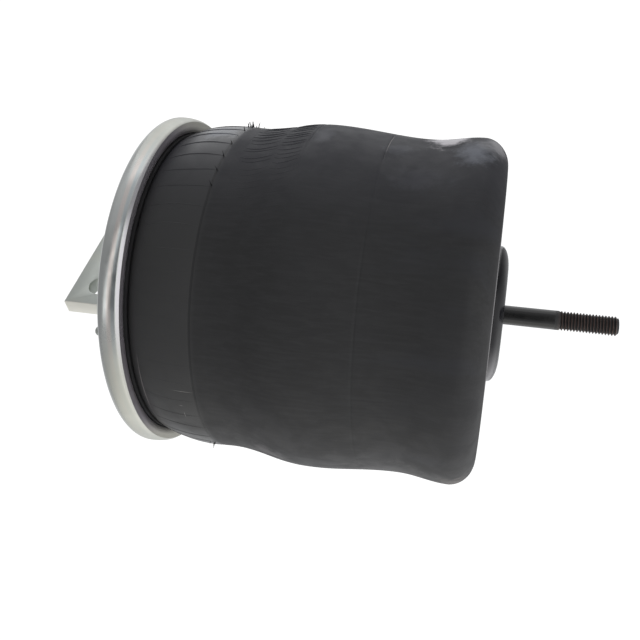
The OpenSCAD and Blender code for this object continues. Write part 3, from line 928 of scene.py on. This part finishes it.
# Bead retainer, bump stop and seals.
# Inside the air space: a plated retainer clamps the lower bead, and a rubber bump stop on a steel plate
# carries the bead plate when the air is out. None of it shows from outside, and all keep their CAD shapes.
inner_steel, tree, shader, place = new_material("inner_steel")
mottle = use(tree, clouds, place, Scale=55, Low=0.3, High=0.75).outputs["Mask"]
grey = blend_colours(tree, mottle, (0.42, 0.42, 0.41), (0.52, 0.51, 0.5))
tree.links.new(grey, shader.inputs["Base Color"])
tree.links.new(remap(tree, mottle, 0, 1, 0.35, 0.5), shader.inputs["Roughness"])
bump(tree, shader, use(tree, grain, place, Scale=1500).outputs["Height"], 0.00003)
set_plain(shader, Metallic=1)
stop_rubber = soft_rubber("stop_rubber", (0.03, 0.028, 0.026), (0.045, 0.043, 0.04), 0.6)
seal_rubber = soft_rubber("seal_rubber", (0.018, 0.018, 0.018), (0.028, 0.028, 0.028), 0.35)
cover(inner_steel, "crush_sleeve", "bump_stop_plate")
cover(plate_zinc, "bead_retainer")
cover(stop_rubber, "bump_stop")
cover(seal_rubber, "retainer_seal", "base_seal")


# Bolt.
# A long half inch bolt that clamps bump stop, retainer and piston together. Its end stands out below the
# foot for the axle seat's nut. It is black oxide, rubbed brown along the thread's crests.
bolt_r = 0.00635
thread_pitch = 0.0254 / 13
thread_depth = 0.613 * thread_pitch
thread_top_z = -0.2697
bolt_end_z = -0.3069
head_z = -0.0909
head_af = 0.01905
head_h = 0.0079
oxide, tree, shader, place = new_material("bolt_oxide")
rust = use(tree, clouds, place, Scale=160, Low=0.3, High=0.7).outputs["Mask"]
shank = blend_colours(tree, rust, (0.0025, 0.0025, 0.0025), (0.005, 0.0045, 0.0045))

# From just above the thread down the oxide is dull, and the crests are worn to brown
height = height_of(tree, place)
dull = remap(tree, height, -0.2665, -0.268)
threaded = remap(tree, height, -0.268, -0.272)
crest = remap(tree, from_axis(tree, place), bolt_r - 0.0008, bolt_r)
worn = calc(tree, "MULTIPLY", threaded, crest)
brown = blend_colours(tree, rust, (0.05, 0.03, 0.026), (0.1, 0.06, 0.048))
shank = blend_colours(tree, dull, shank, (0.014, 0.014, 0.015))
tree.links.new(blend_colours(tree, worn, shank, brown), shader.inputs["Base Color"])
gloss = remap(tree, rust, 0, 1, 0.16, 0.2)
tree.links.new(calc(tree, "ADD", gloss, remap(tree, dull, 0, 1, 0, 0.3)), shader.inputs["Roughness"])
bump(tree, shader, use(tree, grain, place, Scale=1800).outputs["Height"], 0.00001)
set_plain(shader, Specular_IOR_Level=0.75)

end_chamfer = 0.0016
runout_z = thread_top_z + 0.0008
root_r = bolt_r - thread_depth
thread_turns = 20
steps_a_turn = 48
start_z = bolt_end_z - 0.6 * thread_pitch

# One groove of the thread, as radii and shares of the pitch
thread_section = [(bolt_r, 0.06), (root_r, 0.44), (root_r, 0.56), (bolt_r, 0.94), (bolt_r, 1.06)]
bm = bmesh.new()
verts = [bm.verts.new((r, 0, start_z + share * thread_pitch)) for r, share in thread_section]
edges = [bm.edges.new(pair) for pair in zip(verts, verts[1:])]
bmesh.ops.spin(
    bm, geom=verts + edges, cent=(0, 0, 0), axis=(0, 0, 1),
    dvec=(0, 0, thread_pitch / steps_a_turn), angle=2 * math.pi * thread_turns,
    steps=steps_a_turn * thread_turns, use_merge=False, use_duplicate=False,
)
bmesh.ops.remove_doubles(bm, verts=bm.verts, dist=1e-6)
for z, outward in ((bolt_end_z, -1), (runout_z, 1)):
    bmesh.ops.bisect_plane(
        bm, geom=bm.verts[:] + bm.edges[:] + bm.faces[:], plane_co=(0, 0, z), plane_no=(0, 0, outward),
        clear_outer=True,
    )
for v in bm.verts:
    r = v.co.xy.length
    cut_r = bolt_r - (bolt_r - r) * ramp(v.co.z, runout_z, runout_z - 1.5 * thread_pitch)
    chamfer_r = bolt_r - end_chamfer * max(0, 1 - (v.co.z - bolt_end_z) / end_chamfer)
    v.co.xy *= min(cut_r, chamfer_r) / r
bmesh.ops.holes_fill(bm, edges=[e for e in bm.edges if e.is_boundary], sides=0)
turn(bm, [
    (bolt_r, thread_top_z), (bolt_r, foot_z), (bolt_r, foot_z + base_t), (bolt_r, head_z + 0.001),
    (0, head_z + 0.001), (0, thread_top_z),
], steps=64)
bolt = finish(bm, "piston_through_bolt", oxide, "piston", sharp=40)
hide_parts("piston_bolt")

bm = bmesh.new()
head_corner_r = head_af / 2 / math.cos(math.radians(30))
head_foot = Matrix.Translation((0, 0, head_z))
bmesh.ops.create_circle(bm, cap_ends=True, segments=6, radius=head_corner_r, matrix=head_foot)
thicken(bm, (0, 0, head_h))
top_edges = [e for e in bm.edges if all(v.co.z > head_z + head_h / 2 for v in e.verts)]
bevel(bm, top_edges, 0.0007, 2)
head = finish(bm, "piston_bolt_head", oxide, "piston", sharp=25)
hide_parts("piston_bolt")
cover(oxide, "bolt_washer")


# Floor and light.
# A pale floor just below the bolt's end at full stroke, a white surround, and soft light: a large panel
# over the spring as the picture shows it, another under it, and one that draws the rolled rim's bright band.
floor_z = bolt_end_z - stroke - 0.001
floor_paint, tree, shader, place = new_material("floor_paint")
tint = use(tree, clouds, place, Scale=2, Low=0.2, High=0.8).outputs["Mask"]
pale = blend_colours(tree, tint, (0.48, 0.48, 0.48), (0.52, 0.52, 0.52))
tree.links.new(pale, shader.inputs["Base Color"])
set_plain(shader, Roughness=0.8, Emission_Color=(1, 1, 1, 1))
# The floor glows: plain white to the camera, and towards the spring a painted glow that is brightest along
# lit_way
lit_way = Vector((-0.944, 0.202, 0))
lit = remap(tree, towards(tree, place, lit_way), -0.2, 0.1, 0.05, 0.72)
seen_white = remap(tree, add(tree, "ShaderNodeLightPath").outputs["Is Camera Ray"], 0, 1, 0, 0.86)
tree.links.new(calc(tree, "MAXIMUM", lit, seen_white), shader.inputs["Emission Strength"])

# From below the floor is clear, so the spring's underside can be looked at
one_sided = add(tree, "ShaderNodeMixShader", None, {
    0: add(tree, "ShaderNodeNewGeometry").outputs["Backfacing"], 1: shader.outputs["BSDF"],
    2: add(tree, "ShaderNodeBsdfTransparent").outputs["BSDF"],
})
tree.links.new(one_sided.outputs["Shader"], tree.nodes["Material Output"].inputs["Surface"])
bm = bmesh.new()
at_floor = Matrix.Translation((0, 0, floor_z))
bmesh.ops.create_circle(bm, cap_ends=True, segments=64, radius=1.8, matrix=at_floor)
floor = finish(bm, "floor", floor_paint)

# The surround is white to the camera. As a light it is bright behind the spring, softer over and under
# it, and dark round the camera, where a studio keeps its black flags.
world = bpy.data.worlds.new("studio")
bpy.context.scene.world = world
world.use_nodes = True
tree = world.node_tree
seen = tree.nodes["Background"]
seen.inputs["Color"].default_value = (1, 1, 1, 1)
seen.inputs["Strength"].default_value = 1.1
ray = add(tree, "ShaderNodeTexCoord").outputs["Generated"]


def glow_from(direction, start, full, low, high):
    """Strength of the surround that changes from low to high as a ray nears a direction."""
    return remap(tree, towards(tree, ray, direction.normalized()), start, full, low, high)


strength = glow_from(-camera_forward, start=0.72, full=0.93, low=0.28, high=0.1)
for direction, start, full, high in (
    (Vector((0.62, 0.74, -0.25)), -0.1, 0.75, 0.5),
    (camera_up, 0.2, 0.9, 0.18),
    (-camera_up, 0.1, 0.85, 0.2),
):
    strength = calc(tree, "ADD", strength, glow_from(direction, start, full, low=0, high=high))
surround = add(tree, "ShaderNodeBackground", None, {"Color": (0.97, 0.98, 1, 1), "Strength": strength})
either = add(tree, "ShaderNodeMixShader", None, {
    0: add(tree, "ShaderNodeLightPath").outputs["Is Camera Ray"],
    1: surround.outputs["Background"], 2: seen.outputs["Background"],
})
tree.links.new(either.outputs["Shader"], tree.nodes["World Output"].inputs["Surface"])


def panel(name, target, direction, distance, width, height, radiance, roll=0.0, colour=(1, 1, 1)):
    """A soft rectangular light that faces a target from a direction, its height along the picture's."""
    data = bpy.data.lights.new(name, "AREA")
    data.color = colour
    data.shape = "RECTANGLE"
    data.size = width
    data.size_y = height
    data.energy = radiance * math.pi * width * height
    light = bpy.data.objects.new(name, data)
    bpy.context.scene.collection.objects.link(light)
    facing = direction.normalized()
    across = camera_up.cross(facing).normalized()
    upright = facing.cross(across)
    turned = Matrix((across, upright, facing)).transposed().to_4x4()
    rolled = turned @ Matrix.Rotation(math.radians(roll), 4, "Z")
    light.matrix_world = Matrix.Translation(Vector(target) + facing * distance) @ rolled


middle = (0, 0, -0.12)
near_rim = (-0.078, -0.084, -0.01)
right_of_middle = (0, 0, -0.24)
panel(
    "over", right_of_middle, camera_up + 0.1 * camera_forward,
    distance=1, width=1.2, height=1.2, radiance=0.43,
)
panel(
    "under", middle, -camera_up - 0.05 * camera_forward,
    distance=1, width=1.3, height=1.3, radiance=0.43, colour=(1, 0.98, 0.9),
)
panel(
    "rim_strip", near_rim, Vector((-0.634, -0.68, 0.24)),
    distance=1.2, width=0.24, height=1.5, radiance=0.85, roll=-25,
)

view = bpy.context.scene.view_settings
view.view_transform = "Standard"
view.look = "None"
